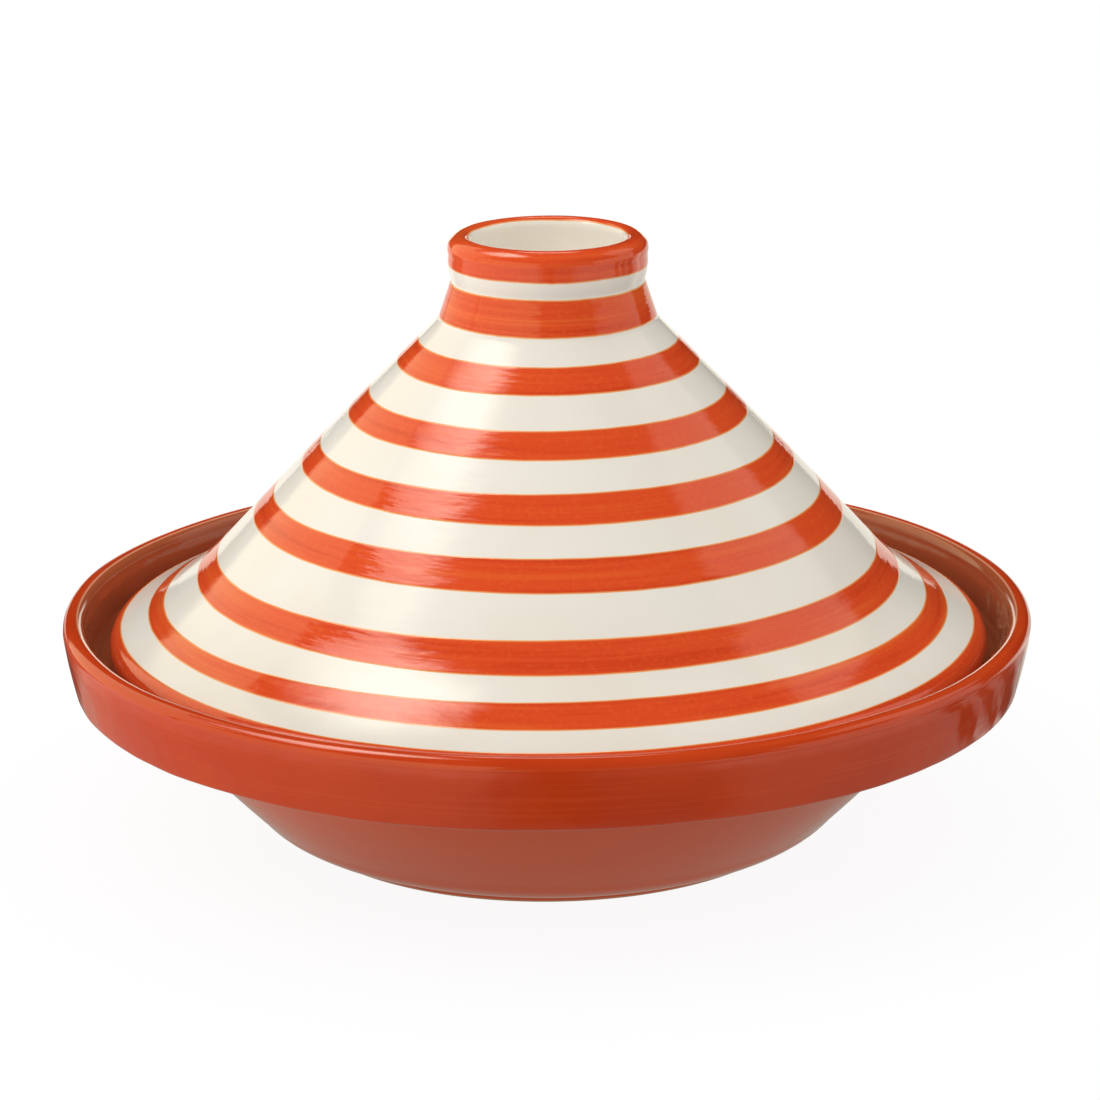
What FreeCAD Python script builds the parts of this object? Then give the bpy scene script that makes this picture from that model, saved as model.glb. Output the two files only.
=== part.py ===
import FreeCAD, Part
import os
from math import atan2, cos, pi, radians, sin, sqrt, tan

# A striped earthenware tagine, in millimetres. Z is up, along the axis that both pieces were
# turned round, and z = 0 is the face of the foot ring that stands on the table. A pair of
# numbers is a point of a half section: its distance from the axis, and its height.

# Dish: a footed bowl, a flat ledge for the lid, and a rim that leans out round the ledge.
RIM_RADIUS = 140.0
RIM_TOP = 64.7
RIM_BOTTOM_RADIUS = 136.7
RIM_BULGE = 0.3
LIP_ROUND = 3.1
LEDGE_TOP = 50.3
LEDGE_THICKNESS = 6.2
LEDGE_OUTER_RADIUS = 131.9
LEDGE_OUTER_ROUND = 3.0
LEDGE_INNER_ROUND = 2.0
RIM_BOTTOM_ROUND = 1.2
BOWL_START = (78.0, 2.6)
BOWL_HEEL = (83.7, 5.1)
BOWL_SIDE_FOOT = (88.0, 9.2)
BOWL_SIDE_TOP = (116.8, 42.0)
BOWL_SIDE_BULGE = 0.7
BOWL_CORNER_RADIUS = 118.5
BOWL_CORNER_ROUND = 3.0
WELL_FLOOR = (51.5, 9.0)
WELL_ROUND = 66.6
FOOT_RADIUS = 75.0
FOOT_WIDTH = 8.5
FOOT_DRAFT = 1.0
FOOT_HOLLOW = 2.0
FOOT_ROUND = 0.7

# Lid: a rounded edge, a hollowed skirt, a cone, a short neck and a cup-shaped knob.
LID_RADIUS = 127.1
EDGE_ROUND = 5.2
SEAT_WIDTH = 5.4
SKIRT_SLOPE = 23.6
SKIRT_HOLLOW = 1.7
INNER_SKIRT_HOLLOW = 0.9
CONE_FOOT = (96.6, 79.5)
CONE_TOP = (34.6, 145.3)
CONE_BULGE = 0.25
NECK_FOOT = (31.2, 148.8)
NECK_FOOT_ROUND = 4.0
GROOVE = (27.5, 160.0)
GROOVE_ROUND = 0.6
KNOB_SIDE_TOP = (28.2, 167.5)
KNOB_SIDE_BULGE = 0.4
KNOB_SHOULDER = (27.5, 171.6)
KNOB_CREST = (24.8, 173.0)
KNOB_LIP = (22.9, 172.4)
CUP_RIM = (21.8, 170.8)
LID_WALL = 5.5
DOME_TOP = 143.3
SEAT_CHAMFER = (1.5, 8.0)

# Orange glaze: the upper and lower edge of each band, from the knob down to the lid's edge.
GLAZE = 0.5
KNOB_BAND_INNER_RADIUS = 22.4
BANDS = [
    (KNOB_CREST[1] + GLAZE, 164.3),
    (159.9, 149.4),
    (143.1, 136.1),
    (128.6, 121.5),
    (114.4, 107.0),
    (100.2, 92.0),
    (82.6, 74.5),
    (70.0, 64.3),
    (61.0, 51.0),
]


def at(radius, height):
    """A point of a half section."""
    return FreeCAD.Vector(radius, 0, height)


class Outline:
    """A half section's outline, drawn edge by edge."""

    def __init__(self, start):
        self.start = start
        self.end = start
        self.edges = []

    def line_to(self, end):
        self.edges.append(Part.LineSegment(self.end, end).toShape())
        self.end = end

    def arc_to(self, through, end):
        self.edges.append(Part.Arc(self.end, through, end).toShape())
        self.end = end

    def bow_to(self, end, rise):
        """An arc whose middle stands rise to the right of the straight way to its end."""
        way = end - self.end
        right = FreeCAD.Vector(way.z, 0, -way.x).normalize()
        self.arc_to((self.end + end) * 0.5 + right * rise, end)

    def round_to(self, corner, radius, towards):
        """A line towards a corner, and an arc round it onto the way to the next point."""
        back = (self.end - corner).normalize()
        onward = (towards - corner).normalize()
        half = back.getAngle(onward) / 2
        middle = (back + onward).normalize()
        self.line_to(corner + back * (radius / tan(half)))
        nearest = corner + middle * (radius / sin(half) - radius)
        self.arc_to(nearest, corner + onward * (radius / tan(half)))

    def face(self):
        """The section's flat face, closed by a line back to the start."""
        self.line_to(self.start)
        return Part.Face(Part.Wire(self.edges))


def turned(face):
    """The solid that half a section sweeps in one turn round the axis."""
    return face.revolve(FreeCAD.Vector(0, 0, 0), FreeCAD.Vector(0, 0, 1), 360)


def draw_foot(outline):
    """The foot ring, from the hollow underside to where the bowl starts."""
    inner = FOOT_RADIUS - FOOT_WIDTH
    bowl_start = at(*BOWL_START)
    foot_top = at(FOOT_RADIUS + FOOT_DRAFT, bowl_start.z)
    outline.round_to(at(inner - FOOT_DRAFT, FOOT_HOLLOW), FOOT_ROUND, at(inner, 0))
    outline.round_to(at(inner, 0), FOOT_ROUND, at(FOOT_RADIUS, 0))
    outline.round_to(at(FOOT_RADIUS, 0), FOOT_ROUND, foot_top)
    outline.round_to(foot_top, FOOT_ROUND, bowl_start)
    outline.line_to(bowl_start)


def draw_bowl(outline):
    """The outside of the bowl: its rounded heel, its side, and the corner under the ledge."""
    outline.arc_to(at(*BOWL_HEEL), at(*BOWL_SIDE_FOOT))
    outline.bow_to(at(*BOWL_SIDE_TOP), BOWL_SIDE_BULGE)
    corner = at(BOWL_CORNER_RADIUS, LEDGE_TOP - LEDGE_THICKNESS)
    outline.round_to(corner, BOWL_CORNER_ROUND, at(RIM_BOTTOM_RADIUS, corner.z))


def draw_rim(outline):
    """The leaning rim with its round lip, and the ledge's top."""
    bottom = at(RIM_BOTTOM_RADIUS, LEDGE_TOP - LEDGE_THICKNESS)
    lip_height = RIM_TOP - LIP_ROUND
    lip_outside = at(RIM_RADIUS, lip_height)
    outline.round_to(bottom, RIM_BOTTOM_ROUND, lip_outside)
    outline.bow_to(lip_outside, RIM_BULGE)
    lip_inside = at(RIM_RADIUS - 2 * LIP_ROUND, lip_height)
    outline.arc_to(at(RIM_RADIUS - LIP_ROUND, RIM_TOP), lip_inside)
    ledge_corner = at(LEDGE_OUTER_RADIUS, LEDGE_TOP)
    outline.round_to(ledge_corner, LEDGE_OUTER_ROUND, at(0, LEDGE_TOP))


def draw_well(outline):
    """The ledge's inner edge, and the well, whose arc runs into its flat floor."""
    floor_edge = at(*WELL_FLOOR)
    centre = floor_edge + at(0, WELL_ROUND)
    top_height = LEDGE_TOP - LEDGE_INNER_ROUND
    reach = sqrt(WELL_ROUND**2 - (centre.z - top_height) ** 2)
    well_top = at(centre.x + reach, top_height)
    top_angle = atan2(centre.z - top_height, reach)
    corner = at(well_top.x + LEDGE_INNER_ROUND * tan(top_angle), LEDGE_TOP)
    outline.round_to(corner, LEDGE_INNER_ROUND, well_top)
    outline.line_to(well_top)
    middle = (top_angle + pi / 2) / 2
    outline.arc_to(centre + at(cos(middle), -sin(middle)) * WELL_ROUND, floor_edge)
    outline.line_to(at(0, floor_edge.z))


def dish_section():
    """Half the section of the dish."""
    outline = Outline(at(0, FOOT_HOLLOW))
    draw_foot(outline)
    draw_bowl(outline)
    draw_rim(outline)
    draw_well(outline)
    return outline.face()


def draw_lid_outside(outline):
    """The lid's outer surface, from its flat seat over the knob's lip to the rim of its cup."""
    edge_centre = at(LID_RADIUS - EDGE_ROUND, LEDGE_TOP + EDGE_ROUND)
    slope = radians(SKIRT_SLOPE)
    skirt_edge = edge_centre + at(sin(slope), cos(slope)) * EDGE_ROUND
    outline.line_to(at(edge_centre.x, LEDGE_TOP))
    outline.arc_to(at(LID_RADIUS, edge_centre.z), skirt_edge)
    outline.bow_to(at(*CONE_FOOT), -SKIRT_HOLLOW)
    outline.bow_to(at(*CONE_TOP), CONE_BULGE)
    outline.round_to(at(*NECK_FOOT), NECK_FOOT_ROUND, at(*GROOVE))
    outline.round_to(at(*GROOVE), GROOVE_ROUND, at(*KNOB_SIDE_TOP))
    outline.bow_to(at(*KNOB_SIDE_TOP), KNOB_SIDE_BULGE)
    outline.arc_to(at(*KNOB_SHOULDER), at(*KNOB_CREST))
    outline.arc_to(at(*KNOB_LIP), at(*CUP_RIM))


def draw_cup(outline):
    """The half sphere of the knob's cup, from its rim down to the axis."""
    radius, height = CUP_RIM
    middle = at(0, height) + at(1, -1).normalize() * radius
    outline.arc_to(middle, at(0, height - radius))


def draw_lid_inside(outline):
    """The lid's hollow, from the dome at its top down to the chamfer round the seat."""
    foot = at(*CONE_FOOT)
    up = (at(*CONE_TOP) - foot).normalize()
    inner_foot = foot + at(-up.z, up.x) * LID_WALL
    # The dome is centred on the axis, and the inner cone runs into it smoothly.
    tip_height = inner_foot.z + inner_foot.x * up.z / -up.x
    dome_round = (tip_height - DOME_TOP) * -up.x / (1 + up.x)
    centre = at(0, DOME_TOP - dome_round)
    middle = atan2(up.z, -up.x) / 2
    outline.line_to(at(0, DOME_TOP))
    dome_middle = centre + at(sin(middle), cos(middle)) * dome_round
    outline.arc_to(dome_middle, centre + at(up.z, -up.x) * dome_round)
    outline.line_to(inner_foot)
    chamfer_width, chamfer_height = SEAT_CHAMFER
    outline.bow_to(outline.start + at(-chamfer_width, chamfer_height), INNER_SKIRT_HOLLOW)


def lid_section():
    """Half the section of the lid with its glaze on."""
    outline = Outline(at(LID_RADIUS - EDGE_ROUND - SEAT_WIDTH, LEDGE_TOP))
    draw_lid_outside(outline)
    draw_cup(outline)
    draw_lid_inside(outline)
    return outline.face()


def coat_section():
    """Half the section of a coat of glaze over the whole outside of the lid."""
    outline = Outline(at(0, LEDGE_TOP))
    draw_lid_outside(outline)
    outline.line_to(at(0, CUP_RIM[1]))
    blank = outline.face()
    return blank.cut(blank.makeOffset2D(-GLAZE))


def band_section(coat, upper, lower):
    """Half the section of one orange band, which stops short of the knob's cup."""
    inner = KNOB_BAND_INNER_RADIUS
    corners = [at(inner, lower), at(LID_RADIUS, lower), at(LID_RADIUS, upper), at(inner, upper)]
    strip = Part.Face(Part.makePolygon(corners + corners[:1]))
    return coat.common(strip).Faces[0]


def lid_and_bands():
    """The lid, with a shallow recess for each band, and the bands that fill the recesses."""
    coat = coat_section()
    bands = [band_section(coat, upper, lower) for upper, lower in BANDS]
    clay = lid_section().cut(bands).Faces[0]
    return turned(clay), Part.makeCompound([turned(band) for band in bands])


def main():
    lid, bands = lid_and_bands()
    shapes = {"dish": turned(dish_section()), "lid": lid, "lid_glaze_bands": bands}
    os.makedirs("parts", exist_ok=True)
    for node, shape in shapes.items():
        shape.exportStep(f"parts/{node}.step")
        print(node, "valid" if shape.isValid() else "INVALID", round(shape.Volume), "mm3")


main()
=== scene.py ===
from math import atan2, ceil, cos, pi, radians, sin, sqrt, tan

import bpy
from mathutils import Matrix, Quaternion, Vector, noise


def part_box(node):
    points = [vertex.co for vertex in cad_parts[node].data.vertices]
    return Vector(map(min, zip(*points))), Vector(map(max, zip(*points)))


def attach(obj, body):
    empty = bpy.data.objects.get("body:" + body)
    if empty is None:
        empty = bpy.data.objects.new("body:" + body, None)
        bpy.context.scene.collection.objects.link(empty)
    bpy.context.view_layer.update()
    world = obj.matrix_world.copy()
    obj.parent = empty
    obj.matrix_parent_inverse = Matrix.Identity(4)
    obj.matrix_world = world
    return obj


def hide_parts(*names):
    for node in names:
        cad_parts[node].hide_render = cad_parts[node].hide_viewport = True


# A glazed earthenware tagine on a white table between studio softboxes. The dish, the lid and
# the orange bands painted on the lid are turned from half sections, as on a potter's wheel.
# Half sections are in millimetres: a point is its distance from the axis and its height.
# Materials, the table, the lights and the camera are in metres.

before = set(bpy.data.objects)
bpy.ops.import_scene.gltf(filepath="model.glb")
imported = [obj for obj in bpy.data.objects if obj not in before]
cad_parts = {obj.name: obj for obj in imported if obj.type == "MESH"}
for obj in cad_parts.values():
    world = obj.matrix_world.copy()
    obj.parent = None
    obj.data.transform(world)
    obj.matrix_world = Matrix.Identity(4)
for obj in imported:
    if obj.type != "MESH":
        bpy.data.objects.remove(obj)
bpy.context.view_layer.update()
MM = 0.001
TURN_STEPS = 360
ARC_STEP = radians(7.5)
SHARP_ANGLE = radians(40)
HALVINGS = 30


def tenths(metres):
    """A length of the frame in millimetres, to the nearest tenth."""
    return round(metres / MM, 1)


DISH_LOW, DISH_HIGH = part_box("dish")
LID_LOW, LID_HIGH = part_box("lid")
BANDS_LOW, BANDS_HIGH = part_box("lid_glaze_bands")
RIM_RADIUS = tenths(DISH_HIGH.x)
RIM_TOP = tenths(DISH_HIGH.z)
LEDGE_TOP = tenths(LID_LOW.z)
LID_RADIUS = tenths(BANDS_HIGH.x)
CREST_HEIGHT = tenths(BANDS_HIGH.z)

# Dish.
LEDGE_UNDERSIDE = LEDGE_TOP - 6.2
RIM_BOTTOM_RADIUS = RIM_RADIUS - 3.3
LIP_ROUND = 3.1
WELL_FLOOR = Vector((51.5, 9.0))
WELL_ROUND = 66.6
LEDGE_INNER_ROUND = 2.0
FOOT_RADIUS = 75.0
FOOT_INNER_RADIUS = 66.5
FOOT_HOLLOW = 2.0
FOOT_ROUND = 0.7

# Lid.
EDGE_ROUND = 5.2
SEAT_INNER_RADIUS = LID_RADIUS - 10.6
SKIRT_SLOPE = radians(23.6)
CONE_FOOT = Vector((96.6, 79.5))
CONE_TOP = Vector((34.6, 145.3))
CUP_RIM = Vector((21.8, CREST_HEIGHT - 2.2))
LID_WALL = 5.5
DOME_TOP = 143.3

# The lid sits this far to the right of the dish's axis, and leans by this slope.
LID_ASIDE = 0.3
LID_LEAN = 0.006

# How uneven the clay is: a swell is broad and low, and lumps are as wide as a fingertip.
SWELL_WIDTH = 42
LUMP_WIDTH = 9
DISH_SWELL = 0.25
RIM_INSIDE_SWELL = 0.1
WELL_SWELL = 0.2
LID_SWELL = 0.22
LID_INSIDE_SWELL = 0.2
KNOB_SWELL = 0.1
FINE_LUMPS = 0.03
WELL_LUMPS = 0.02
LID_LUMPS = 0.04
RIM_LUMPS = 0.13
SMOOTHING_REACH = 3
DISH_SEED = 11.3
LID_SEED = 5.7

# Rows of points past the rim's crest over which the outside's colour gives way to the inside's painted
# shade.
LIP_ROWS = 4

# Orange bands: the height of each one's upper and lower edge in front, how streaky its brushwork
# is, and how far its upper edge sinks towards the sides.
BAND_INNER_RADIUS = 22.4
BANDS = [
    (None, 164.3, 0.25, 0.0),
    (159.9, 149.4, 0.4, 0.0),
    (143.1, 136.1, 0.3, 0.0),
    (128.6, 121.5, 0.2, 0.4),
    (114.4, 107.0, 0.2, 1.2),
    (100.2, 92.0, 0.25, 1.5),
    (82.4, 74.5, 0.35, 1.6),
    (69.7, 64.3, 0.45, 3.0),
    (60.8, 51.0, 0.2, 0.5),
]
LEFT_SINKS_MORE = 0.35

# The glaze stands proud in the middle of a band and sinks into the cream over the shoulder.
BAND_PROUD = 0.06
BAND_SUNK = 0.04
BAND_DEPTH = 0.35
BAND_SHOULDER = 0.6
BAND_STEP = 0.6

# How far a brushed edge strays, slowly and quickly, and how often it does so round the turn.
EDGE_WANDER = 0.28
EDGE_JITTER = 0.07
WANDER_TURNS = 1.6
JITTER_TURNS = 14
BAND_SEED = 7.3
EDGE_SEED = 3.1


def circle_centre(a, b, c):
    """The centre of the circle through three points."""
    ab, ac = b - a, c - a
    scale = 2 * ab.cross(ac)
    x = (ac.y * ab.length_squared - ab.y * ac.length_squared) / scale
    y = (ab.x * ac.length_squared - ac.x * ab.length_squared) / scale
    return a + Vector((x, y))


class Outline:
    """A half section as a row of points, with how uneven the surface is at each of them."""

    def __init__(self, radius, height, spacing):
        self.points = [Vector((radius, height))]
        self.spacing = spacing
        self.swell = 0.0
        self.lumps = 0.0
        self.unevenness = [(0.0, 0.0)]

    def add(self, point):
        self.points.append(point)
        self.unevenness.append((self.swell, self.lumps))

    def line_to(self, radius, height):
        start, end = self.points[-1], Vector((radius, height))
        count = ceil((end - start).length / self.spacing)
        for i in range(1, count + 1):
            self.add(start.lerp(end, i / count))

    def arc_to(self, through, end):
        start = self.points[-1]
        centre = circle_centre(start, through, end)
        radius = (start - centre).length
        first = atan2(start.y - centre.y, start.x - centre.x)
        last = atan2(end.y - centre.y, end.x - centre.x)
        turn = (last - first) % (2 * pi)
        if (through - start).cross(end - through) < 0:
            turn -= 2 * pi
        count = ceil(max(abs(turn) * radius / self.spacing, abs(turn) / ARC_STEP))
        for i in range(1, count + 1):
            angle = first + turn * i / count
            self.add(centre + Vector((cos(angle), sin(angle))) * radius)

    def bow_to(self, end, rise):
        """An arc whose middle stands rise to the right of the straight way to its end."""
        way = end - self.points[-1]
        right = Vector((way.y, -way.x)).normalized()
        self.arc_to((self.points[-1] + end) / 2 + right * rise, end)

    def round_to(self, corner, radius, towards):
        """A line towards a corner, and an arc round it onto the way to the next point."""
        back = (self.points[-1] - corner).normalized()
        onward = (towards - corner).normalized()
        half = back.angle(onward) / 2
        middle = (back + onward).normalized()
        self.line_to(*(corner + back * radius / tan(half)))
        nearest = corner + middle * (radius / sin(half) - radius)
        self.arc_to(nearest, corner + onward * radius / tan(half))


def dish_outline():
    """The dish from the middle of its underside, out over the rim and in to its floor."""
    outline = Outline(0, FOOT_HOLLOW, 4.0)
    foot_inner = Vector((FOOT_INNER_RADIUS, 0))
    foot_outer = Vector((FOOT_RADIUS, 0))
    foot_top = Vector((FOOT_RADIUS + 1, 2.6))
    bowl_start = Vector((78.0, 2.6))
    outline.round_to(Vector((FOOT_INNER_RADIUS - 1, FOOT_HOLLOW)), FOOT_ROUND, foot_inner)
    outline.round_to(foot_inner, FOOT_ROUND, foot_outer)
    outline.round_to(foot_outer, FOOT_ROUND, foot_top)
    outline.round_to(foot_top, FOOT_ROUND, bowl_start)
    outline.line_to(*bowl_start)
    outline.spacing = 1.7
    outline.swell, outline.lumps = DISH_SWELL, FINE_LUMPS
    outline.arc_to(Vector((83.7, 5.1)), Vector((88.0, 9.2)))
    outline.bow_to(Vector((116.8, 42.0)), 0.7)
    rim_bottom = Vector((RIM_BOTTOM_RADIUS, LEDGE_UNDERSIDE))
    outline.round_to(Vector((118.5, LEDGE_UNDERSIDE)), 3.0, rim_bottom)
    lip_outside = Vector((RIM_RADIUS, RIM_TOP - LIP_ROUND))
    outline.lumps = RIM_LUMPS
    outline.round_to(rim_bottom, 1.2, lip_outside)
    outline.bow_to(lip_outside, 0.3)
    lip_inside = lip_outside - Vector((2 * LIP_ROUND, 0))
    outline.lumps = FINE_LUMPS
    outline.arc_to(Vector((RIM_RADIUS - LIP_ROUND, RIM_TOP)), lip_inside)
    outline.swell = RIM_INSIDE_SWELL
    outline.round_to(Vector((RIM_RADIUS - 8.1, LEDGE_TOP)), 3.0, Vector((0, LEDGE_TOP)))
    outline.swell, outline.lumps = 0.0, 0.0
    draw_well(outline)
    return outline


def draw_well(outline):
    """The ledge's inner edge, the well's round side and its flat floor."""
    centre = WELL_FLOOR + Vector((0, WELL_ROUND))
    top_height = LEDGE_TOP - LEDGE_INNER_ROUND
    reach = sqrt(WELL_ROUND**2 - (centre.y - top_height) ** 2)
    well_top = Vector((centre.x + reach, top_height))
    top_angle = atan2(centre.y - top_height, reach)
    corner = Vector((well_top.x + LEDGE_INNER_ROUND * tan(top_angle), LEDGE_TOP))
    outline.round_to(corner, LEDGE_INNER_ROUND, well_top)
    outline.line_to(*well_top)
    outline.spacing = 3.0
    outline.swell, outline.lumps = WELL_SWELL, WELL_LUMPS
    middle = (top_angle + pi / 2) / 2
    outline.arc_to(centre + Vector((cos(middle), -sin(middle))) * WELL_ROUND, WELL_FLOOR)
    outline.line_to(0, WELL_FLOOR.y)


def lid_outline():
    """The lid from the top of its hollow, out under the edge and up to the knob's cup."""
    up = (CONE_TOP - CONE_FOOT).normalized()
    inner_foot = CONE_FOOT + Vector((-up.y, up.x)) * LID_WALL
    tip_height = inner_foot.y + inner_foot.x * up.y / -up.x
    dome_round = (tip_height - DOME_TOP) * -up.x / (1 + up.x)
    dome_centre = Vector((0, DOME_TOP - dome_round))
    middle = atan2(up.y, -up.x) / 2
    outline = Outline(0, DOME_TOP, 3.0)
    outline.swell, outline.lumps = LID_INSIDE_SWELL, FINE_LUMPS
    dome_middle = dome_centre + Vector((sin(middle), cos(middle))) * dome_round
    outline.arc_to(dome_middle, dome_centre + Vector((up.y, -up.x)) * dome_round)
    outline.line_to(*inner_foot)
    outline.bow_to(Vector((SEAT_INNER_RADIUS - 1.5, LEDGE_TOP + 8.0)), -0.9)
    outline.swell, outline.lumps = 0.0, 0.0
    outline.line_to(SEAT_INNER_RADIUS, LEDGE_TOP)
    draw_lid_outside(outline)
    cup_centre = Vector((0, CUP_RIM.y))
    cup_middle = cup_centre + Vector((1, -1)).normalized() * CUP_RIM.x
    outline.arc_to(cup_middle, cup_centre - Vector((0, CUP_RIM.x)))
    return outline


def draw_lid_outside(outline):
    """The lid's outer surface, from its flat seat over the knob's lip to its cup."""
    edge_centre = Vector((LID_RADIUS - EDGE_ROUND, LEDGE_TOP + EDGE_ROUND))
    edge_out = Vector((LID_RADIUS, edge_centre.y))
    skirt_edge = edge_centre + Vector((sin(SKIRT_SLOPE), cos(SKIRT_SLOPE))) * EDGE_ROUND
    neck_foot = Vector((31.2, 148.8))
    groove = Vector((27.5, 160.0))
    knob_side_top = Vector((28.2, CREST_HEIGHT - 5.5))
    outline.line_to(edge_centre.x, LEDGE_TOP)
    outline.spacing = 1.4
    outline.arc_to(edge_out, skirt_edge)
    outline.swell, outline.lumps = LID_SWELL, LID_LUMPS
    outline.bow_to(CONE_FOOT, -1.7)
    outline.bow_to(CONE_TOP, 0.25)
    outline.swell = KNOB_SWELL
    outline.round_to(neck_foot, 4.0, groove)
    outline.round_to(groove, 0.6, knob_side_top)
    outline.bow_to(knob_side_top, 0.4)
    crest = Vector((24.8, CREST_HEIGHT))
    outline.arc_to(Vector((27.5, CREST_HEIGHT - 1.4)), crest)
    outline.arc_to(Vector((22.9, CREST_HEIGHT - 0.6)), CUP_RIM)


def smoothed(values, reach):
    """Each number averaged with its neighbours, so that changes come on gradually."""
    last = len(values) - 1
    result = []
    for i in range(last + 1):
        window = values[max(0, i - reach) : min(last, i + reach) + 1]
        result.append(sum(window) / len(window))
    return result


class Surface:
    """The uneven surface that an outline sweeps round the axis."""

    def __init__(self, outline, seed, aside=0.0, lean=0.0):
        self.points = outline.points
        self.aside = aside
        self.lean = lean
        self.swell = smoothed([u[0] for u in outline.unevenness], SMOOTHING_REACH)
        self.lumps = smoothed([u[1] for u in outline.unevenness], SMOOTHING_REACH)
        self.seed = Vector((seed, -seed, 2 * seed))
        self.normals = self.find_normals()
        self.lengths = [0.0]
        for a, b in zip(self.points, self.points[1:]):
            self.lengths.append(self.lengths[-1] + (b - a).length)

    def find_normals(self):
        """The direction out of the clay at each point, between those of its two edges."""
        edges = zip(self.points, self.points[1:])
        sides = [Vector((b.y - a.y, a.x - b.x)).normalized() for a, b in edges]
        inner = [(a + b).normalized() for a, b in zip(sides, sides[1:])]
        return [sides[0]] + inner + [sides[-1]]

    def place(self, index, share, angle, lift=0.0):
        """A point of the surface between two of the outline's, in metres, stood off by lift."""
        after = min(index + 1, len(self.points) - 1)
        flat = self.points[index].lerp(self.points[after], share)
        normal = self.normals[index].lerp(self.normals[after], share).normalized()
        swell = self.swell[index] * (1 - share) + self.swell[after] * share
        lumps = self.lumps[index] * (1 - share) + self.lumps[after] * share
        spot = Vector((flat.x * cos(angle), flat.x * sin(angle), flat.y))
        offset = swell * noise.noise(spot / SWELL_WIDTH + self.seed)
        offset += lumps * noise.noise(spot / LUMP_WIDTH + self.seed)
        moved = flat + normal * (offset + lift)
        aside = self.aside + self.lean * (moved.y - LEDGE_TOP)
        return Vector((moved.x * cos(angle) + aside, moved.x * sin(angle), moved.y)) * MM

    def locate(self, length):
        """The outline's edge that holds a length along it, and the share of it."""
        length = min(max(length, 0.0), self.lengths[-1])
        low, high = 0, len(self.lengths) - 1
        while high - low > 1:
            middle = (low + high) // 2
            if self.lengths[middle] <= length:
                low = middle
            else:
                high = middle
        return low, (length - self.lengths[low]) / (self.lengths[high] - self.lengths[low])

    def length_where(self, start, stop, reached):
        """The length along the outline, between two points, where a test is first met."""
        for i in range(start, stop):
            if reached(self.points[i + 1]):
                low, high = 0.0, 1.0
                for _ in range(HALVINGS):
                    middle = (low + high) / 2
                    if reached(self.points[i].lerp(self.points[i + 1], middle)):
                        high = middle
                    else:
                        low = middle
                return self.lengths[i] + (self.lengths[i + 1] - self.lengths[i]) * high
        raise ValueError("the outline never gets there")


def make_object(name, verts, faces, material):
    """A smooth-shaded piece, with its sharp edges kept."""
    mesh = bpy.data.meshes.new(name)
    mesh.from_pydata(verts, [], faces)
    mesh.validate()
    mesh.shade_smooth()
    mesh.set_sharp_from_angle(angle=SHARP_ANGLE)
    mesh.materials.append(material)
    piece = bpy.data.objects.new(name, mesh)
    bpy.context.scene.collection.objects.link(piece)
    return piece


def store(piece, name, values):
    """A number for each point of a piece, which its material can read."""
    attribute = piece.data.attributes.new(name, "FLOAT", "POINT")
    attribute.data.foreach_set("value", values)


def turned_piece(name, surface, material):
    """A closed solid of revolution whose outline starts and ends on the axis."""
    rows = len(surface.points)
    verts = [surface.place(0, 0.0, 0.0)]
    for row in range(1, rows - 1):
        for step in range(TURN_STEPS):
            verts.append(surface.place(row, 0.0, 2 * pi * step / TURN_STEPS))
    verts.append(surface.place(rows - 2, 1.0, 0.0))

    def at(row, step):
        return 1 + (row - 1) * TURN_STEPS + step % TURN_STEPS

    last = len(verts) - 1
    faces = [(0, at(1, step + 1), at(1, step)) for step in range(TURN_STEPS)]
    for row in range(1, rows - 2):
        for step in range(TURN_STEPS):
            faces.append((at(row, step), at(row, step + 1), at(row + 1, step + 1), at(row + 1, step)))
    faces += [(last, at(rows - 2, step), at(rows - 2, step + 1)) for step in range(TURN_STEPS)]
    return make_object(name, verts, faces, material)


def edge_wander(number, side, angle):
    """How far a band's brushed edge strays from its ring, round the turn."""
    spot = Vector((cos(angle), sin(angle), 0))
    offset = Vector((0, 0, BAND_SEED * number + EDGE_SEED * side))
    wander = EDGE_WANDER * noise.noise(spot * WANDER_TURNS + offset)
    return wander + EDGE_JITTER * noise.noise(spot * JITTER_TURNS + offset)


def band_lift(distance):
    """How far a band's glaze stands off the cream at a distance from its nearer edge."""
    rest = 1 - min(1.0, distance / BAND_SHOULDER)
    return BAND_PROUD - (BAND_PROUD + BAND_SUNK) * rest**2


def add_band(surface, number, lower, upper, sink, verts, faces, edges):
    """One band of glaze as a closed ring that hugs the lid's surface."""
    count = ceil((upper - lower) / BAND_STEP)
    first = len(verts)
    row_size = count + 3
    for step in range(TURN_STEPS):
        angle = 2 * pi * step / TURN_STEPS
        start = lower + edge_wander(number, 0, angle)
        end = upper + edge_wander(number, 1, angle)
        end -= sink * (cos(angle) ** 2 - LEFT_SINKS_MORE * cos(angle))
        for i in range(count + 1):
            along = (1 - cos(pi * i / count)) / 2
            length = start + (end - start) * along
            edge = min(length - start, end - length)
            verts.append(surface.place(*surface.locate(length), angle, band_lift(edge)))
            edges.append(edge)
        for length in (end - BAND_DEPTH, start + BAND_DEPTH):
            verts.append(surface.place(*surface.locate(length), angle, -BAND_DEPTH))
            edges.append(0.0)
    for step in range(TURN_STEPS):
        here = first + step * row_size
        there = first + (step + 1) % TURN_STEPS * row_size
        for i in range(row_size):
            after = (i + 1) % row_size
            faces.append((here + i, there + i, there + after, here + after))


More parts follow.
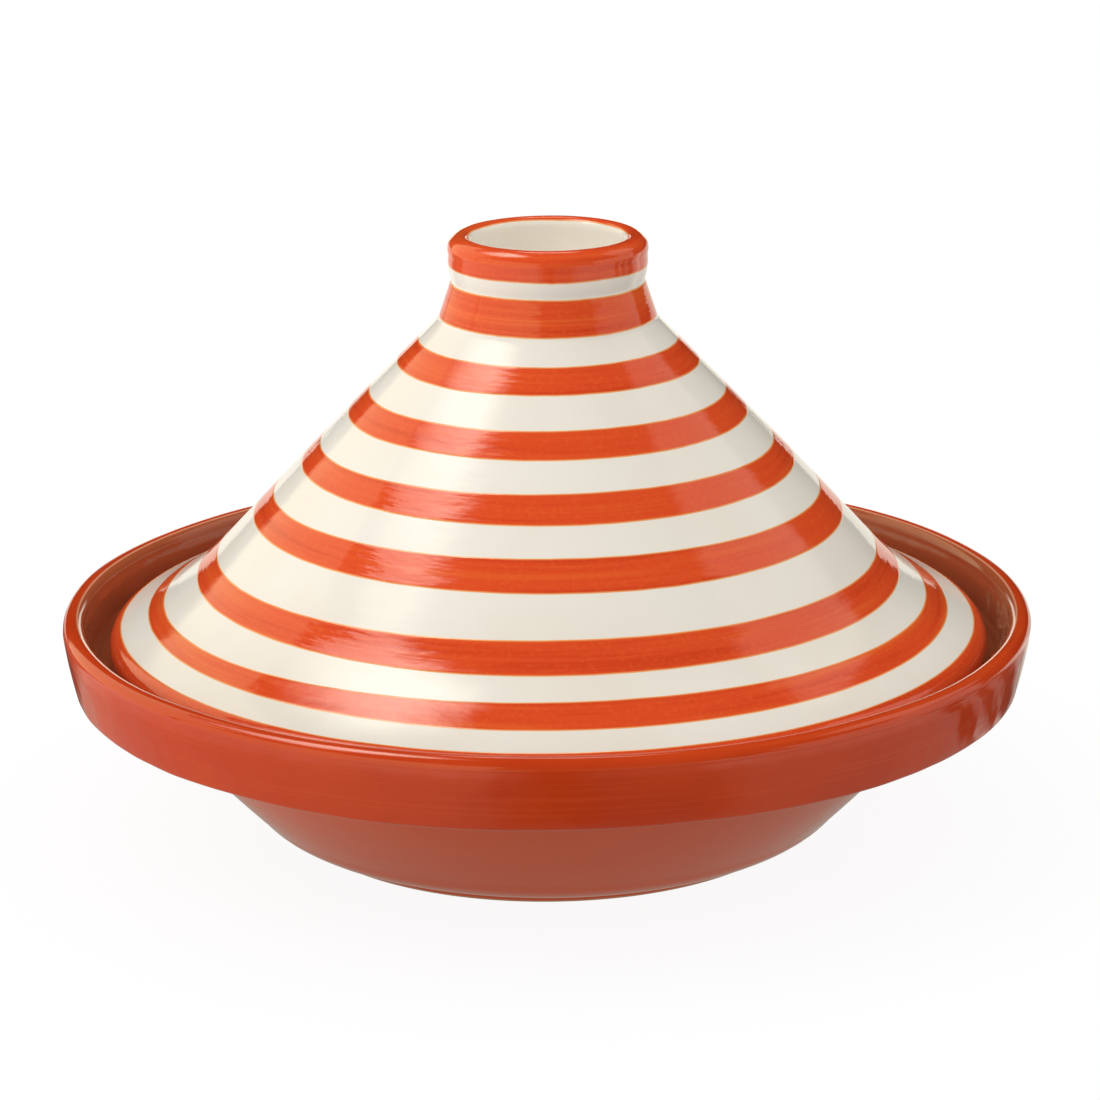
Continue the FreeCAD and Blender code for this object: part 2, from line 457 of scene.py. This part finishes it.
def band_piece(surface, material):
    """All the orange bands as one piece of separate rings."""
    heights = [p.y for p in surface.points]
    seat = max(i for i, p in enumerate(surface.points) if abs(p.y - LEDGE_TOP) < 0.001)
    crest = max(range(seat, len(heights)), key=lambda i: heights[i])
    last = len(heights) - 1
    verts, faces, edges, streaks = [], [], [], []
    for number, (top, bottom, streakiness, sink) in enumerate(BANDS):
        lower = surface.length_where(seat, crest, lambda p: p.y >= bottom)
        if top is None:
            upper = surface.length_where(crest, last, lambda p: p.x <= BAND_INNER_RADIUS)
        else:
            upper = surface.length_where(seat, crest, lambda p: p.y >= top)
        add_band(surface, number, lower, upper, sink, verts, faces, edges)
        streaks += [streakiness] * (len(verts) - len(streaks))
    piece = make_object("lid_orange_bands", verts, faces, material)
    store(piece, "edge_mm", edges)
    store(piece, "streakiness", streaks)
    return piece


class Nodes:
    """A material's node tree, built a node at a time."""

    def __init__(self, name):
        self.material = bpy.data.materials.new(name)
        self.material.use_nodes = True
        self.tree = self.material.node_tree
        self.shader = self.tree.nodes["Principled BSDF"]

    def add(self, kind, inputs=None, **settings):
        node = self.tree.nodes.new("ShaderNode" + kind)
        for key, value in settings.items():
            setattr(node, key, value)
        for key, value in (inputs or {}).items():
            if isinstance(value, bpy.types.NodeSocket):
                self.tree.links.new(value, node.inputs[key])
            else:
                node.inputs[key].default_value = value
        return node

    def place(self):
        return self.add("TexCoord").outputs["Object"]

    def noise(self, scale, detail=2.0, roughness=0.5, stretch=(1, 1, 1), shift=(0, 0, 0)):
        """Noise with features of about 1/scale metres, squeezed along each axis by stretch."""
        mapping = self.add("Mapping", {"Vector": self.place(), "Scale": stretch, "Location": shift})
        inputs = {"Vector": mapping.outputs[0], "Scale": scale, "Detail": detail, "Roughness": roughness}
        return self.add("TexNoise", inputs).outputs["Fac"]

    def attribute(self, name):
        return self.add("Attribute", attribute_name=name).outputs["Fac"]

    def math(self, operation, a, b=0.0):
        return self.add("Math", {0: a, 1: b}, operation=operation).outputs[0]

    def ramp(self, value, low, high, to_low=0.0, to_high=1.0):
        """A smooth step of a value from one range to another."""
        inputs = {"Value": value, 1: low, 2: high, 3: to_low, 4: to_high}
        return self.add("MapRange", inputs, interpolation_type="SMOOTHSTEP").outputs[0]

    def mix(self, share, a, b):
        node = self.add("Mix", data_type="RGBA")
        for index, value in ((0, share), (6, a), (7, b)):
            if isinstance(value, bpy.types.NodeSocket):
                self.tree.links.new(value, node.inputs[index])
            elif index == 0:
                node.inputs[index].default_value = value
            else:
                node.inputs[index].default_value = (*value, 1)
        return node.outputs[2]

    def bump(self, height, distance, strength=1.0, normal=None):
        """A bump whose height of 0 to 1 stands for a distance in metres."""
        inputs = {"Height": height, "Distance": distance, "Strength": strength}
        if normal is not None:
            inputs["Normal"] = normal
        return self.add("Bump", inputs).outputs[0]

    def set(self, **values):
        for key, value in values.items():
            socket = self.shader.inputs[key.replace("_", " ")]
            if isinstance(value, bpy.types.NodeSocket):
                self.tree.links.new(value, socket)
            elif isinstance(value, tuple):
                socket.default_value = (*value, 1)
            else:
                socket.default_value = value
        return self.material


GLAZE_ROUGHNESS = 0.07
GLAZE_IOR = 1.5
CREAM_ROUGHNESS = 0.1
CREAM_IOR = 1.36
CREAM = (0.86, 0.81, 0.71)
CREAM_WARM = (0.84, 0.775, 0.66)
SPECK = (0.30, 0.17, 0.09)
ORANGE = (0.76, 0.078, 0.019)
ORANGE_THICK = (0.68, 0.060, 0.014)
ORANGE_THIN = (0.88, 0.185, 0.032)
ORANGE_FRINGE = (0.95, 0.46, 0.15)
DISH_ORANGE = (0.60, 0.056, 0.010)
DISH_DARK = (0.55, 0.045, 0.008)
DISH_LIGHT = (0.66, 0.085, 0.016)
# Painted light: the bowl below the rim is the dish's glaze painted lighter. This stands in for the white
# table's light and reflection on it.
BOWL_LIT_ORANGE = (0.66, 0.085, 0.020)
# Painted shade: the dish's inside is the same glaze as its outside, darkened to brown where shade falls.
INSIDE_PAINTED_SHADE = (0.40, 0.10, 0.038)
# Painted highlight: a pale line along the lip's inner edge, where the glaze mirrors the bright studio
# behind.
LIP_PAINTED_HIGHLIGHT = (0.88, 0.50, 0.30)
BARE_CLAY = (0.55, 0.30, 0.17)

# Features per metre of each noise; three numbers are those along x, y and z.
CREAM_CLOUDS = 22
CREAM_RIPPLES = 120
DISH_CLOUDS = 26
RIM_RIPPLES = 100
GRAIN = 750
SPECKS = 70
FINE_STROKES = (14, 14, 900)
BROAD_STROKES = (9, 9, 320)
PUDDLES = (110, 110, 420)
THROWING_RINGS = (8, 8, 700)

# Speck size as a share of the way between specks, and the share of places that have none.
SPECK_SIZE = 0.018
SPECKLESS = 0.93

# Levels of a noise between which a colour comes on.
WARM_CREAM_LEVELS = (0.35, 0.7)
THICK_LEVELS = (0.50, 0.36)
THIN_LEVELS = (0.50, 0.66)
GRAIN_LEVELS = (0.48, 0.70)
DARK_DISH_LEVELS = (0.35, 0.65)
LIGHT_RING_LEVELS = (0.52, 0.68)

# How much of a colour shows at most.
GRAIN_SHARE = 0.15
FRINGE_SHARE = 0.85
LIGHT_RING_SHARE = 0.3
# The lip's painted highlight shows at most this much.
LIP_HIGHLIGHT_SHARE = 0.6

# Heights in metres between which a colour or a ripple comes on.
SEAT_HEIGHTS = ((LEDGE_TOP + 0.6) * MM, (LEDGE_TOP + 0.3) * MM)
FOOT_HEIGHTS = (0.0008, 0.0004)
# The bowl's painted light comes on below these heights.
BOWL_LIT_HEIGHTS = (0.0435, 0.0415)
RIM_HEIGHTS = (0.042, 0.047)
BELOW_LIP_HEIGHTS = ((RIM_TOP - LIP_ROUND) * MM, (RIM_TOP - 2 * LIP_ROUND) * MM)

# Distances from a band's edge in millimetres between which its fringe comes on.
FRINGE_REACH = (0.8, 0.2)

# Depths of bumps in metres, and the share of the rim's ripple that the bowl keeps.
CREAM_RIPPLE_DEPTH = 0.00005
STROKE_DEPTH = 0.00006
PUDDLE_DEPTH = 0.0001
RING_DEPTH = 0.00006
RIM_RIPPLE_DEPTH = 0.0005
BOWL_RIPPLE_SHARE = 0.2


def specks(nodes):
    """Rare pin-head specks in the glaze: 1 in a speck and 0 elsewhere."""
    cells = nodes.add("TexVoronoi", {"Vector": nodes.place(), "Scale": SPECKS})
    lot = nodes.add("SeparateColor", {"Color": cells.outputs["Color"]}).outputs[0]
    chosen = nodes.math("GREATER_THAN", lot, SPECKLESS)
    near = nodes.ramp(cells.outputs["Distance"], SPECK_SIZE, SPECK_SIZE * 0.5)
    return nodes.math("MULTIPLY", chosen, near)


def cream_material():
    nodes = Nodes("cream_glaze")
    tone = nodes.ramp(nodes.noise(CREAM_CLOUDS, 3), *WARM_CREAM_LEVELS)
    colour = nodes.mix(tone, CREAM, CREAM_WARM)
    colour = nodes.mix(specks(nodes), colour, SPECK)
    height = nodes.add("SeparateXYZ", {0: nodes.place()}).outputs[2]
    colour = nodes.mix(nodes.ramp(height, *SEAT_HEIGHTS), colour, BARE_CLAY)
    ripple = nodes.noise(CREAM_RIPPLES, 1, stretch=(1, 1, 4))
    return nodes.set(
        Base_Color=colour,
        Roughness=CREAM_ROUGHNESS,
        IOR=CREAM_IOR,
        Normal=nodes.bump(ripple, CREAM_RIPPLE_DEPTH),
    )


def orange_material():
    """Brushed glaze, darker where a stroke lies thick and paler where it is thin or at an edge."""
    nodes = Nodes("orange_glaze")
    streakiness = nodes.attribute("streakiness")
    fine = nodes.noise(1.0, 3, 0.6, stretch=FINE_STROKES)
    broad = nodes.noise(1.0, 2, 0.5, stretch=BROAD_STROKES, shift=(3, 1, 5))
    brushed = nodes.math("ADD", nodes.math("MULTIPLY", fine, 0.55), nodes.math("MULTIPLY", broad, 0.45))
    thin = nodes.math("MULTIPLY", nodes.ramp(brushed, *THIN_LEVELS), streakiness)
    colour = nodes.mix(nodes.ramp(brushed, *THICK_LEVELS), ORANGE, ORANGE_THICK)
    colour = nodes.mix(thin, colour, ORANGE_THIN)
    grain = nodes.ramp(nodes.noise(GRAIN, 2), *GRAIN_LEVELS)
    colour = nodes.mix(nodes.math("MULTIPLY", grain, GRAIN_SHARE), colour, ORANGE_THIN)
    fringe = nodes.ramp(nodes.attribute("edge_mm"), *FRINGE_REACH)
    colour = nodes.mix(nodes.math("MULTIPLY", fringe, FRINGE_SHARE), colour, ORANGE_FRINGE)
    puddled = nodes.noise(1.0, 2, stretch=PUDDLES, shift=(2, 7, 1))
    strokes = nodes.bump(brushed, STROKE_DEPTH)
    return nodes.set(
        Base_Color=colour,
        Roughness=GLAZE_ROUGHNESS,
        IOR=GLAZE_IOR,
        Normal=nodes.bump(puddled, PUDDLE_DEPTH, normal=strokes),
    )


def dish_colour(nodes, rings, height):
    """Orange outside, with painted shade turning the inside brown, a painted lighter orange on the bowl
    below the rim, and a painted highlight along the lip's inner edge.
    """
    clouds = nodes.ramp(nodes.noise(DISH_CLOUDS, 3), *DARK_DISH_LEVELS)
    colour = nodes.mix(clouds, DISH_ORANGE, DISH_DARK)
    light = nodes.math("MULTIPLY", nodes.ramp(rings, *LIGHT_RING_LEVELS), LIGHT_RING_SHARE)
    colour = nodes.mix(light, colour, DISH_LIGHT)
    # Painted light: below the rim the bowl turns a lighter orange.
    colour = nodes.mix(nodes.ramp(height, *BOWL_LIT_HEIGHTS), colour, BOWL_LIT_ORANGE)
    colour = nodes.mix(nodes.ramp(height, *FOOT_HEIGHTS), colour, BARE_CLAY)
    inside = nodes.attribute("inside")
    # Painted shade: rows past the rim's crest are darkened to brown.
    colour = nodes.mix(inside, colour, INSIDE_PAINTED_SHADE)
    # Painted highlight: a pale line where the inside mask rises past the rim's crest, along the lip's
    # inner edge.
    painted_lip_highlight = nodes.math("MULTIPLY", nodes.ramp(inside, 0.2, 0.5), nodes.ramp(inside, 0.8, 0.5))
    return nodes.mix(nodes.math("MULTIPLY", painted_lip_highlight, LIP_HIGHLIGHT_SHARE), colour, LIP_PAINTED_HIGHLIGHT)


def dish_material():
    """Glaze with throwing rings all over, and a lumpy ripple on the rim's outside."""
    nodes = Nodes("dish_glaze")
    rings = nodes.noise(1.0, 3, 0.6, stretch=THROWING_RINGS)
    height = nodes.add("SeparateXYZ", {0: nodes.place()}).outputs[2]
    colour = dish_colour(nodes, rings, height)
    rim = nodes.ramp(height, *RIM_HEIGHTS, BOWL_RIPPLE_SHARE, 1.0)
    below_lip = nodes.ramp(height, *BELOW_LIP_HEIGHTS)
    rippled = nodes.math("MULTIPLY", rim, below_lip)
    ripple = nodes.math("MULTIPLY", nodes.noise(RIM_RIPPLES, 1), rippled)
    lower = nodes.bump(rings, RING_DEPTH)
    return nodes.set(
        Base_Color=colour,
        Roughness=GLAZE_ROUGHNESS,
        IOR=GLAZE_IOR,
        Normal=nodes.bump(ripple, RIM_RIPPLE_DEPTH, normal=lower),
    )


# The studio. Brightness is 1 where white is, and lengths are in metres.
WHITE = (1.0, 1.0, 1.0)
WARM_WHITE = (1.0, 0.96, 0.84)
LEFT_WARM = (1.0, 0.85, 0.52)
BOUNCE_WHITE = (1.0, 1.0, 1.03)
SKY_RADIANCE = 0.90
LIGHT_AIM = Vector((0, 0, 0.08))

# The table that the camera sees: far off, it dims to the brightness of the sky.
TABLE_HALF = 6
TABLE_GREY = (0.09, 0.09, 0.09)
TABLE_GLOW = 0.92
TABLE_GLOW_FAR = SKY_RADIANCE - 0.09
HORIZON_REACH = (2.0, 5.5)
UNDER_TABLE = -0.0002

# The table that lights the pot: its brightness changes between two distances across.
BOUNCE_LEFT = 1.65
BOUNCE_RIGHT = 0.43
BOUNCE_REACH = (-0.30, -0.03)

# The table that the glaze mirrors is shaded near the pot. A sector of it is centred on a bearing
# from the front, has a half width and an edge that fades, all in degrees, and changes brightness
# by a factor, from a distance off that SECTOR_REACH gives.
MIRRORED_NEAR = 0.40
MIRRORED_FAR = 0.95
SHADE_REACH = (0.19, 0.38)
SECTOR_REACH = (0.15, 0.19)
SECTORS = [
    (2, 1, 16, 0.0),
    (20, 4, 12, 0.35),
    (97, 13, 5, 0.12),
    (90, 1, 3, 7.0),
    (101, 1, 3, 5.0),
    (126, 3, 3, 1.6),
    (-128, 10, 8, 0.15),
]

# The key light: direction, distance, size and how brightly it lights a white surface.
KEY = ((-0.60, -0.20, 0.77), 1.6, 0.8, 0.175)

# Its mirror image, a strip: direction, distance and size. Its brightness rises and falls between
# shares of its length, then of its width. The tongues of its ragged edge reach over a share of its
# width, and TONGUES is how many there are in a metre.
STRIP = ((-0.56, 0.13, 1.0), 1.5, (1.3, 1.05))
STRIP_TURN = radians(22)
STRIP_RADIANCE = 8.5
STRIP_BACK = (0.1, 0.55)
STRIP_FRONT = (1.0, 0.75)
STRIP_RISE = (-0.25, 0.7)
STRIP_FALL = (1.0, 0.7)
STRIP_TONGUES = 0.2
TONGUES = 45

# Panels that the glaze mirrors: direction, distance, size, brightness, share that fades, colour.
PANELS = [
    ("left_panel", (-0.74, 0.38, 0.36), 1.5, (1.7, 1.7), 1.3, 0.08, LEFT_WARM),
    ("front_left_wall", (-0.77, -0.64, 0.25), 1.4, (2.3, 0.9), 1.2, 0.03, LEFT_WARM),
    ("right_wall", (0.99, -0.12, 0.18), 1.4, (1.8, 0.8), 0.8, 0.1, WARM_WHITE),
    ("right_panel", (0.72, 0.24, 0.62), 1.5, (1.0, 0.9), 0.9, 0.15, WARM_WHITE),
    ("back_top", (0.0, 0.55, 0.83), 1.5, (0.5, 0.35), 4.0, 0.3, WARM_WHITE),
    ("backdrop", (0.0, 1.0, 0.04), 1.5, (1.0, 0.35), 1.8, 0.2, WARM_WHITE),
]

# The camera.
CAMERA_ELEVATION = radians(16.5)
CAMERA_DISTANCE = 1.1
CAMERA_AIM = Vector((0.00104, 0, 0.0795))
CAMERA_LENS = 124.2
CAMERA_ROLL = radians(0.37)


def floor_material():
    """A white table, lit from below as well as from above, so that shadows on it stay faint. Far
    off it dims to the brightness of the sky, so that no horizon shows."""
    nodes = Nodes("white_table")
    away = nodes.add("VectorMath", {0: nodes.place()}, operation="LENGTH").outputs["Value"]
    return nodes.set(
        Base_Color=TABLE_GREY,
        Emission_Color=WHITE,
        Emission_Strength=nodes.ramp(away, *HORIZON_REACH, TABLE_GLOW, TABLE_GLOW_FAR),
        Specular_IOR_Level=0.0,
    )


def glowing(nodes, strength, colour):
    """A surface that only glows."""
    glow = nodes.add("Emission", {"Strength": strength, "Color": (*colour, 1)})
    nodes.tree.links.new(glow.outputs[0], nodes.tree.nodes["Material Output"].inputs["Surface"])
    return nodes.material


def panel_material(name, radiance, fade, colour):
    """A glowing panel that fades towards its edges over a share of its width."""
    nodes = Nodes(name)
    spot = nodes.add("SeparateXYZ", {0: nodes.add("TexCoord").outputs["Generated"]})
    strength = radiance
    for across in (spot.outputs[0], spot.outputs[1]):
        edge = nodes.math("MINIMUM", across, nodes.math("SUBTRACT", 1.0, across))
        strength = nodes.math("MULTIPLY", strength, nodes.ramp(edge, 0.0, fade))
    return glowing(nodes, strength, colour)


def strip_material():
    """The key light as the glaze mirrors it: sharp and ragged on the left, where it starts out
    dim, and brightest towards its soft right side."""
    nodes = Nodes("left_strip")
    spot = nodes.add("SeparateXYZ", {0: nodes.add("TexCoord").outputs["Generated"]})
    along, across = spot.outputs[0], spot.outputs[1]
    strength = STRIP_RADIANCE
    for fade in (STRIP_BACK, STRIP_FRONT):
        strength = nodes.math("MULTIPLY", strength, nodes.ramp(along, *fade))
    for fade in (STRIP_RISE, STRIP_FALL):
        strength = nodes.math("MULTIPLY", strength, nodes.ramp(across, *fade))
    tongues = nodes.math("MULTIPLY", nodes.noise(TONGUES, 3, stretch=(1, 0, 0)), STRIP_TONGUES)
    ragged = nodes.ramp(nodes.math("SUBTRACT", across, tongues), 0.0, 0.01)
    return glowing(nodes, nodes.math("MULTIPLY", strength, ragged), WARM_WHITE)


def bounce_material():
    """The table as it lights the pot: brighter on the side of the key light."""
    nodes = Nodes("floor_bounce")
    across = nodes.add("SeparateXYZ", {0: nodes.place()}).outputs[0]
    strength = nodes.ramp(across, *BOUNCE_REACH, BOUNCE_LEFT, BOUNCE_RIGHT)
    return glowing(nodes, strength, BOUNCE_WHITE)


def mirrored_material():
    """The table as the glaze mirrors it: shaded near the pot, with dark and bright sectors."""
    nodes = Nodes("floor_mirrored")
    place = nodes.add("SeparateXYZ", {0: nodes.place()})
    away = nodes.add("VectorMath", {0: nodes.place()}, operation="LENGTH").outputs["Value"]
    bearing = nodes.math("ARCTAN2", place.outputs[0], nodes.math("MULTIPLY", place.outputs[1], -1.0))
    strength = nodes.ramp(away, *SHADE_REACH, MIRRORED_NEAR, MIRRORED_FAR)
    clear = nodes.ramp(away, *SECTOR_REACH)
    for middle, half, fade, change in SECTORS:
        off = nodes.math("ABSOLUTE", nodes.math("SUBTRACT", bearing, radians(middle)))
        share = nodes.ramp(off, radians(half), radians(half + fade), change - 1, 0.0)
        factor = nodes.math("ADD", 1.0, nodes.math("MULTIPLY", clear, share))
        strength = nodes.math("MULTIPLY", strength, factor)
    return glowing(nodes, strength, WARM_WHITE)


def staged(name, corners, material, seen_by):
    """A flat piece of the studio that only some rays meet."""
    mesh = bpy.data.meshes.new(name)
    mesh.from_pydata(corners, [], [tuple(range(len(corners)))])
    mesh.materials.append(material)
    plane = bpy.data.objects.new(name, mesh)
    bpy.context.scene.collection.objects.link(plane)
    plane.visible_shadow = False
    plane.visible_transmission = False
    plane.visible_camera = seen_by == "camera"
    plane.visible_diffuse = seen_by == "diffuse"
    plane.visible_glossy = seen_by == "glossy"
    return plane


def square(half, height):
    return [(-half, -half, height), (half, -half, height), (half, half, height), (-half, half, height)]


def make_floor():
    """The table as the camera sees it, as it lights the pot, and as the glaze mirrors it."""
    staged("floor", square(TABLE_HALF, 0.0), floor_material(), "camera")
    staged("floor_bounce", square(TABLE_HALF, UNDER_TABLE), bounce_material(), "diffuse")
    staged("floor_mirrored", square(TABLE_HALF, UNDER_TABLE), mirrored_material(), "glossy")


def facing(direction, turn):
    """The turn of a panel that faces the pot from a direction, spun by an angle on itself."""
    upright = direction.to_track_quat("Z", "Y")
    return upright @ Quaternion((0, 0, 1), turn)


def reflected_panel(name, direction, distance, size, material, turn=0.0):
    """A panel that only shows as a reflection in the glaze."""
    towards = Vector(direction).normalized()
    w, h = size[0] / 2, size[1] / 2
    corners = [(-w, -h, 0), (w, -h, 0), (w, h, 0), (-w, h, 0)]
    panel = staged(name, corners, material, "glossy")
    panel.location = LIGHT_AIM + towards * distance
    panel.rotation_mode = "QUATERNION"
    panel.rotation_quaternion = facing(towards, turn)


def softbox(name, direction, distance, size, irradiance):
    """A soft square light that the glaze doesn't mirror: a white surface facing it would show
    the given share of white."""
    light = bpy.data.lights.new(name, "AREA")
    light.shape = "SQUARE"
    light.size = size
    light.energy = irradiance * pi**2 * distance**2
    lamp = bpy.data.objects.new(name, light)
    towards = Vector(direction).normalized()
    lamp.location = LIGHT_AIM + towards * distance
    lamp.rotation_mode = "QUATERNION"
    lamp.rotation_quaternion = facing(towards, 0.0)
    lamp.visible_camera = False
    lamp.visible_glossy = False
    bpy.context.scene.collection.objects.link(lamp)


def make_lights():
    """The key light, what the glaze mirrors of the studio, and an even sky."""
    softbox("key", *KEY)
    reflected_panel("left_strip", *STRIP, strip_material(), STRIP_TURN)
    for name, direction, distance, size, radiance, fade, colour in PANELS:
        material = panel_material(name, radiance, fade, colour)
        reflected_panel(name, direction, distance, size, material)
    world = bpy.data.worlds.new("studio")
    world.use_nodes = True
    background = world.node_tree.nodes["Background"]
    background.inputs["Color"].default_value = (*WHITE, 1)
    background.inputs["Strength"].default_value = SKY_RADIANCE
    world.cycles_visibility.glossy = False
    bpy.context.scene.world = world


def make_camera():
    camera = bpy.data.cameras.new("camera")
    camera.sensor_width = 36
    camera.lens = CAMERA_LENS
    holder = bpy.data.objects.new("camera", camera)
    back = Vector((0, -cos(CAMERA_ELEVATION), sin(CAMERA_ELEVATION)))
    holder.location = CAMERA_AIM + back * CAMERA_DISTANCE
    holder.rotation_mode = "QUATERNION"
    roll = Quaternion((0, 0, 1), -CAMERA_ROLL)
    holder.rotation_quaternion = (-back).to_track_quat("-Z", "Y") @ roll
    bpy.context.scene.collection.objects.link(holder)
    bpy.context.scene.camera = holder


def make_dish():
    surface = Surface(dish_outline(), DISH_SEED)
    piece = turned_piece("dish_body", surface, dish_material())
    crest = max(range(len(surface.points)), key=lambda i: surface.points[i].y)
    shares = []
    for row in range(1, len(surface.points) - 1):
        share = min(1.0, max(0.0, (row - crest - 1) / LIP_ROWS))
        shares += [share] * TURN_STEPS
    # The inside mask carries the dish's painted shade and the lip's painted highlight.
    store(piece, "inside", [0.0] + shares + [1.0])
    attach(piece, "dish")
    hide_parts("dish")


def make_lid():
    surface = Surface(lid_outline(), LID_SEED, LID_ASIDE, LID_LEAN)
    body = turned_piece("lid_body", surface, cream_material())
    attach(body, "lid")
    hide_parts("lid")
    bands = band_piece(surface, orange_material())
    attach(bands, "lid")
    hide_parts("lid_glaze_bands")


bpy.context.scene.view_settings.view_transform = "Standard"
make_camera()
make_floor()
make_lights()
make_dish()
make_lid()
